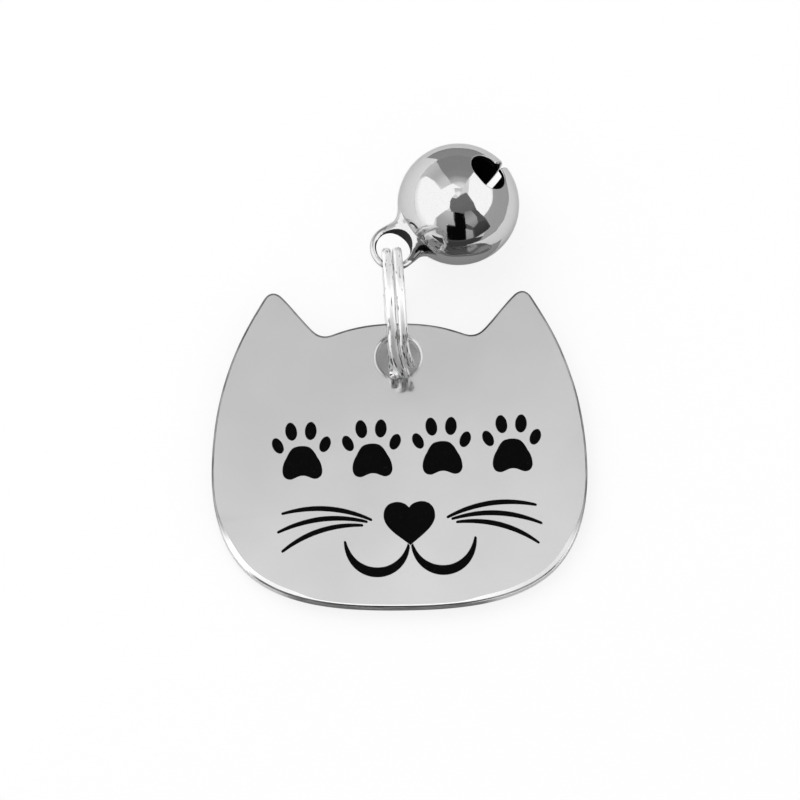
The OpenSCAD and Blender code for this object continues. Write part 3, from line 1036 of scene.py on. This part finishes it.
def raw_mesh(name, skin):
    """A plain mesh object in the bell's own frame, in millimetres."""
    mesh = bpy.data.meshes.new(name)
    mesh.from_pydata(skin.points, [], skin.faces)
    bm = bmesh.new()
    bm.from_mesh(mesh)
    weld(bm, mesh, WELD / MM)
    return placed(name, mesh)


def combine(base, other, operation):
    """Cuts another object from the base or joins it to the base, which uses the other up."""
    modifier = base.modifiers.new("cut", "BOOLEAN")
    modifier.operation = operation
    modifier.object = other
    modifier.solver = "EXACT"
    apply_modifiers(base)
    bpy.data.objects.remove(other)


def apply_modifiers(piece):
    graph = bpy.context.evaluated_depsgraph_get()
    mesh = bpy.data.meshes.new_from_object(piece.evaluated_get(graph))
    piece.modifiers.clear()
    piece.data = mesh


def stacked(sections):
    """A closed skin through loops of the same length, with a fan at each end."""
    skin = Skin()
    loops = [skin.loop(points) for points in sections]
    skin.strips(loops)
    for loop in (loops[0], loops[-1]):
        skin.fan(loop, skin.loop([skin.middle(loop)])[0])
    return skin


def ellipse(half_x, half_y, z, power=2, count=NECK_SIDES):
    """A closed curve round Z, squarer than an ellipse where the power is over 2."""
    points = []
    for k in range(count):
        x = math.cos(2 * math.pi * k / count)
        y = math.sin(2 * math.pi * k / count)
        size = (abs(x) ** power + abs(y) ** power) ** (-1 / power)
        points.append(Vector((half_x * x * size, half_y * y * size, z)))
    return points


def revolved(name, rows):
    return raw_mesh(name, stacked([ellipse(r, r, z) for r, z in rows]))


def eye_neck():
    """The neck with its flared foot, cut by the eye's hole and seated on the ball."""
    reach = 2 * EYE_R + EYE_WIRE
    neck = raw_mesh("neck", stacked([
        ellipse(thick, wide, along - EYE_STAND, NECK_POWER) for along, wide, thick in NECK_ROWS]))
    bore = raw_mesh("bore", stacked([
        [Vector((x, p.x, p.y - EYE_STAND)) for p in ellipse(EYE_HOLE / 2, EYE_HOLE / 2, 0)]
        for x in (-reach, reach)]))
    combine(neck, bore, "DIFFERENCE")
    crown = BELL_R - SHEET_ROUND
    ball = revolved("ball", [
        (crown * sin(a), -crown * cos(a)) for a in range(CUTTER_STEP, 180, CUTTER_STEP)])
    combine(neck, ball, "DIFFERENCE")
    return neck


def eye_hoop():
    """The round wire of the eye, a closed ring across the bell's X."""
    hoop = Skin()
    rings = []
    for y, z in circle(1, NECK_SIDES):
        spoke = Vector((0, y, z))
        middle = spoke * EYE_R - EYE_STAND * UP
        rings.append(hoop.loop([
            middle + EYE_WIRE / 2 * (spoke * p.x + Vector((p.y, 0, 0)))
            for p in ellipse(1, 1, 0, count=HOOP_SIDES)]))
    hoop.strips(rings + rings[:1])
    return raw_mesh("hoop", hoop)


def eye_stem():
    """The stem through the ball's crown and the riveted head inside."""
    rivet_at = -math.sqrt((BELL_R - BELL_WALL) ** 2 - (RIVET_D / 2) ** 2)
    return revolved("stem", [
        (STEM_D / 2, -BELL_R - SHEET_ROUND), (STEM_D / 2, rivet_at), (RIVET_D / 2, rivet_at),
        (RIVET_D / 2, rivet_at + RIVET_T / 2), (STEM_D / 2, rivet_at + RIVET_T)])


def bell_eye(plating, dark):
    """The eye as one casting: its parts joined and smoothed, with painted shade, the dark inside
    metal, on the inside of its hole.
    """
    neck = eye_neck()
    combine(neck, eye_hoop(), "UNION")
    combine(neck, eye_stem(), "UNION")
    remesh = neck.modifiers.new("cast", "REMESH")
    remesh.mode = "VOXEL"
    remesh.voxel_size = EYE_VOXEL
    relax = neck.modifiers.new("relax", "SMOOTH")
    relax.factor = 0.5
    relax.iterations = EYE_SMOOTH
    apply_modifiers(neck)
    mesh = neck.data
    mesh.materials.clear()
    mesh.materials.append(plating)
    mesh.materials.append(dark)
    # Painted shade: faces on the inside of the eye's hole get the dark inside metal.
    for face in mesh.polygons:
        spoke = Vector((face.center.y, face.center.z + EYE_STAND))
        inwards = -(face.normal.y * spoke.x + face.normal.z * spoke.y)
        if inwards > BORE_FACING * spoke.length and spoke.length < EYE_HOLE / 2 + BORE_CLEAR:
            face.material_index = 1
    mesh.transform(Matrix.Scale(MM, 4) @ ON_BELL)
    mesh.shade_smooth()
    neck.name = "cast_eye"
    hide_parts("bell_eye")
    return neck


# Studio

VIEW_ELEVATION = 75
VIEW_WIDTH = 63.9
VIEW_MIDDLE = Vector((0.136, -1.845, 2.6))
CAMERA_DISTANCE = 1000
SENSOR = 36


def aimed(name, data, at, back, distance):
    """A camera or lamp that looks at a place from a distance."""
    made = placed(name, data)
    made.location = MM * (at + distance * back)
    made.rotation_mode = "QUATERNION"
    made.rotation_quaternion = (-back).to_track_quat("-Z", "Y")
    return made


def make_camera():
    data = bpy.data.cameras.new("camera")
    data.sensor_width = SENSOR
    data.lens = SENSOR * CAMERA_DISTANCE / VIEW_WIDTH
    data.clip_start = 0.01
    data.clip_end = 10
    back = towards(-90, VIEW_ELEVATION)
    bpy.context.scene.camera = aimed("camera", data, VIEW_MIDDLE, back, CAMERA_DISTANCE)


def ray_share(tree, shares):
    """A share for each kind of ray that sees the white background, and 0 for all others."""
    path = tree.nodes.new("ShaderNodeLightPath")
    most = 0
    for ray, share in shares.items():
        scaled = worked_out(tree, "Math", "MULTIPLY", path.outputs[ray], share)
        most = worked_out(tree, "Math", "MAXIMUM", scaled, most)
    return most


AMBIENT = 0.78
FLOOR_SHADE = 0.94
WORLD_SHARES = {"Is Camera Ray": 1, "Is Glossy Ray": 1, "Is Transmission Ray": 1}
FLOOR_SHARES = {"Is Camera Ray": 0.82, "Is Glossy Ray": 0.02, "Is Transmission Ray": 0.82}
FLOOR_HALF = 1500
UNDER_HOLE_R = 2.3
UNDER_PLATE_R = 3.4


def make_world():
    world = bpy.data.worlds.new("studio")
    world.use_nodes = True
    tree = world.node_tree
    background = tree.nodes["Background"]
    background.inputs["Color"].default_value = (1, 1, 1, 1)
    strength = tree.nodes.new("ShaderNodeMapRange")
    strength.inputs["To Min"].default_value = AMBIENT
    feed(tree, strength.inputs["Value"], ray_share(tree, WORLD_SHARES))
    tree.links.new(strength.outputs["Result"], background.inputs["Strength"])
    bpy.context.scene.world = world


def sheet(name, material, points):
    """One flat face with a material."""
    mesh = bpy.data.meshes.new(name)
    mesh.from_pydata([MM * p for p in points], [], [list(range(len(points)))])
    mesh.materials.append(material)
    return placed(name, mesh)


def make_floor():
    """A pale floor that keeps its shadows. Under the plate's hole it has no added white."""
    paint = Paint("floor", Roughness=0.9, Base_Color=grey(FLOOR_SHADE))
    tree = paint.tree
    white = paint.node("Emission")
    position = paint.node("NewGeometry").outputs["Position"]
    hole = MM * (ON_PLATE @ Vector())
    away = worked_out(tree, "VectorMath", "DISTANCE", position, hole)
    clear = paint.ranged(away, 0, 1, MM * UNDER_HOLE_R, MM * UNDER_PLATE_R)
    rays = ray_share(tree, FLOOR_SHARES)
    share = worked_out(tree, "Math", "MULTIPLY", rays, clear)
    mix = paint.node("MixShader", Fac=share)
    tree.links.new(paint.shader.outputs["BSDF"], mix.inputs[1])
    tree.links.new(white.outputs["Emission"], mix.inputs[2])
    paint.show(mix.outputs["Shader"])
    corners = [(-1, -1), (1, -1), (1, 1), (-1, 1)]
    floor = sheet("floor", paint.material, [Vector((x, y, 0)) * FLOOR_HALF for x, y in corners])


# Cards that only reflections see, as a ball at CARDS_MIDDLE sees them: name, distance, the way the
# card faces, its brightness at some elevations, and its corners, as azimuths and elevations
CARDS_MIDDLE = Vector((4.8, 13.8, 4.9))
FIGURE_FACES = (-100, 40)
CARDS = [
    ("back_wall", 1500, (90, 20), [(30, 0.33), (48, 0.36), (58, 0.6), (70, 1.1)], [
        (60, -3), (122, -3), (117, 72), (62, 72)]),
    ("back_corner", 1450, (135, 25), [(0, 0.8), (30, 0.65), (60, 0.9)], [
        (117, -3), (145, -3), (140, 12), (143, 36), (150, 52), (116, 66), (118, 20)]),
    ("right_wall", 1500, (0, 5), [(0, 0.5), (24, 0.52)], [
        (-46, -2), (66, -2), (64, 30), (-46, 30)]),
    ("right_window", 1400, (12, 45), [(18, 1.1), (26, 1.46), (90, 1.46)], [
        (62, 34), (50, 26), (18, 20), (-3, 22), (-34, 27), (-34, 52), (14, 73), (42, 64), (58, 50)]),
    ("left_window", 1300, (165, 40), [(0, 1.2), (12, 1.46), (90, 1.46)], [
        (150, -2), (140, 12), (145, 36), (158, 54), (110, 64), (62, 74), (-164, 77), (-127, 61),
        (-134, 41), (-140, 30), (-133, -2)]),
    ("ceiling", 900, (90, 82), [
        (66, 0.78), (80.2, 0.84), (81.0, 0.91), (82.2, 1.09), (83.2, 1.25), (88, 1.36)], [
        (60, 73), (120, 73), (140, 82), (-90, 88), (40, 82)]),
    ("figure", 620, FIGURE_FACES, [(0, 0.11), (45, 0.13), (60, 0.2), (78, 0.22)], [
        (30, 75), (1, 70), (-24, 58), (-35, 47), (-33, 20), (-36, -3), (-60, -3), (-90, -3),
        (-114, -3), (-112, 29), (-107, 50), (-126, 62), (-149, 73), (-165, 79), (-130, 84)]),
    ("coat", 610, FIGURE_FACES, [(0, 0.003)], [
        (-104, 57), (-88, 59), (-70, 53), (-74, 35), (-79, 2), (-105, 2), (-114, 29), (-97, 31)]),
    ("arm", 605, FIGURE_FACES, [(20, 0.35), (40, 0.5), (60, 0.3)], [
        (-69, 56), (-50, 55), (-46, 39), (-50, 27), (-63, 22), (-74, 35)]),
    ("knee", 600, FIGURE_FACES, [(0, 0.05), (25, 0.08)], [
        (-64, 20), (-48, 26), (-35, 20), (-37, -3), (-64, -3)]),
    ("hand", 595, FIGURE_FACES, [(0, 0.42), (25, 0.5)], [
        (-77, 25), (-66, 18), (-67, 2), (-78, 2)]),
    ("sleeve", 590, FIGURE_FACES, [(0, 0.35), (30, 0.55), (60, 0.75)], [
        (-107, 4), (-127, 6), (-138, 30), (-132, 55), (-108, 57), (-98, 33), (-114, 31)]),
]

# The same just over the floor: name, brightness and corners in the row's frame
GROUND_LEVEL = 0.02
GROUND_CARDS = [
    ("ground_right", 0.5, [
        (26, -24), (27, -4), (33, 14), (25, 25), (15, 30), (740, 1480), (1480, 1480),
        (1480, -1480), (60, -60)]),
    ("ground_back", 0.38, [(15, 30), (5, 30.7), (-4, 28.5), (-650, 1480), (740, 1480)]),
    ("ground_front", 0.06, [
        (26, -24), (60, -60), (700, -1480), (-700, -1480), (-60, -60), (-24, -24)]),
    # A painted shadow: a mid-dark sheet under the ball's front, between ball and plate, standing in
    # for their contact shadow in reflections.
    ("ground_near_painted_shadow", 0.4, [(-2, 2), (14, 2), (13, 8.4), (8, 9.4), (2, 9.4), (-2, 6)]),
    ("ground_left", 1.1, [
        (-24, -24), (-60, -60), (-700, -1480), (-1480, -1480), (-1480, -300), (-45, -4)]),
]


BRIGHTEST = 2


def glow_material(name, levels):
    """An even glow, or one that follows the elevation over the middle of the cards."""
    paint = Paint(name)
    tree = paint.tree
    tree.nodes.remove(paint.shader)
    glow = paint.node("Emission", Strength=levels[0][1] if len(levels) == 1 else BRIGHTEST)
    paint.show(glow.outputs["Emission"])
    if len(levels) == 1:
        return paint.material
    position = paint.node("NewGeometry").outputs["Position"]
    ray = worked_out(tree, "VectorMath", "SUBTRACT", position, MM * CARDS_MIDDLE)
    ray = worked_out(tree, "VectorMath", "NORMALIZE", ray)
    height = worked_out(tree, "VectorMath", "DOT_PRODUCT", ray, UP)
    ramp = paint.node("ValToRGB", Fac=height)
    ramp.color_ramp.interpolation = "EASE"
    spots = ramp.color_ramp.elements
    spots.remove(spots[1])
    for count, (elevation, level) in enumerate(levels):
        place = sin(elevation)
        spot = spots.new(place) if count else spots[0]
        spot.position = place
        spot.color = grey(level / BRIGHTEST)
    tree.links.new(ramp.outputs["Color"], glow.inputs["Color"])
    return paint.material


def make_card(name, material, points):
    card = sheet(name, material, points)
    card.visible_camera = False
    card.visible_diffuse = False
    card.visible_shadow = False
    card.visible_transmission = False


def make_cards():
    for name, distance, faces, levels, corners in CARDS:
        facing = towards(*faces)
        rays = [towards(azimuth, elevation) for azimuth, elevation in corners]
        points = [CARDS_MIDDLE + distance / ray.dot(facing) * ray for ray in rays]
        make_card(name, glow_material(name, levels), points)
    for name, level, corners in GROUND_CARDS:
        points = [Vector((x, y, GROUND_LEVEL)) for x, y in corners]
        make_card(name, glow_material(name, [(0, level)]), points)


KEY_DISTANCE = 500
KEY_SIZE = 350
KEY_WATTS = 0.9
KEY_FROM = (125, 58)


def make_key():
    """A soft lamp from behind that camera and mirrors don't see."""
    data = bpy.data.lights.new("key", "AREA")
    data.size = KEY_SIZE * MM
    data.energy = KEY_WATTS
    key = aimed("key", data, Vector(), towards(*KEY_FROM), KEY_DISTANCE)
    key.visible_camera = False
    key.visible_glossy = False


make_camera()
make_world()
make_floor()
make_cards()
make_key()
bpy.context.scene.view_settings.view_transform = "Standard"

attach(tag_plate(plate_steel(), cut_steel()), "tag")
black = enamel()
for art_node in ARTWORK:
    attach(enamel_piece(art_node, black), "tag")
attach(split_ring(drawn_wire()), "ring")
ball_plating = plated("ball_plating", 0.62, 0.06, 0.35, 0.03, 0.07)
dark_metal_and_shade = bell_inside()
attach(bell_body(ball_plating, dark_metal_and_shade), "bell")
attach(bell_eye(plated("eye_plating", 0.6, 0.03, 0.8, 0.05, 0.12), dark_metal_and_shade), "bell")
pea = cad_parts["bell_pea"]
pea_finish = pea_steel()
for place in pea.material_slots:
    place.material = pea_finish
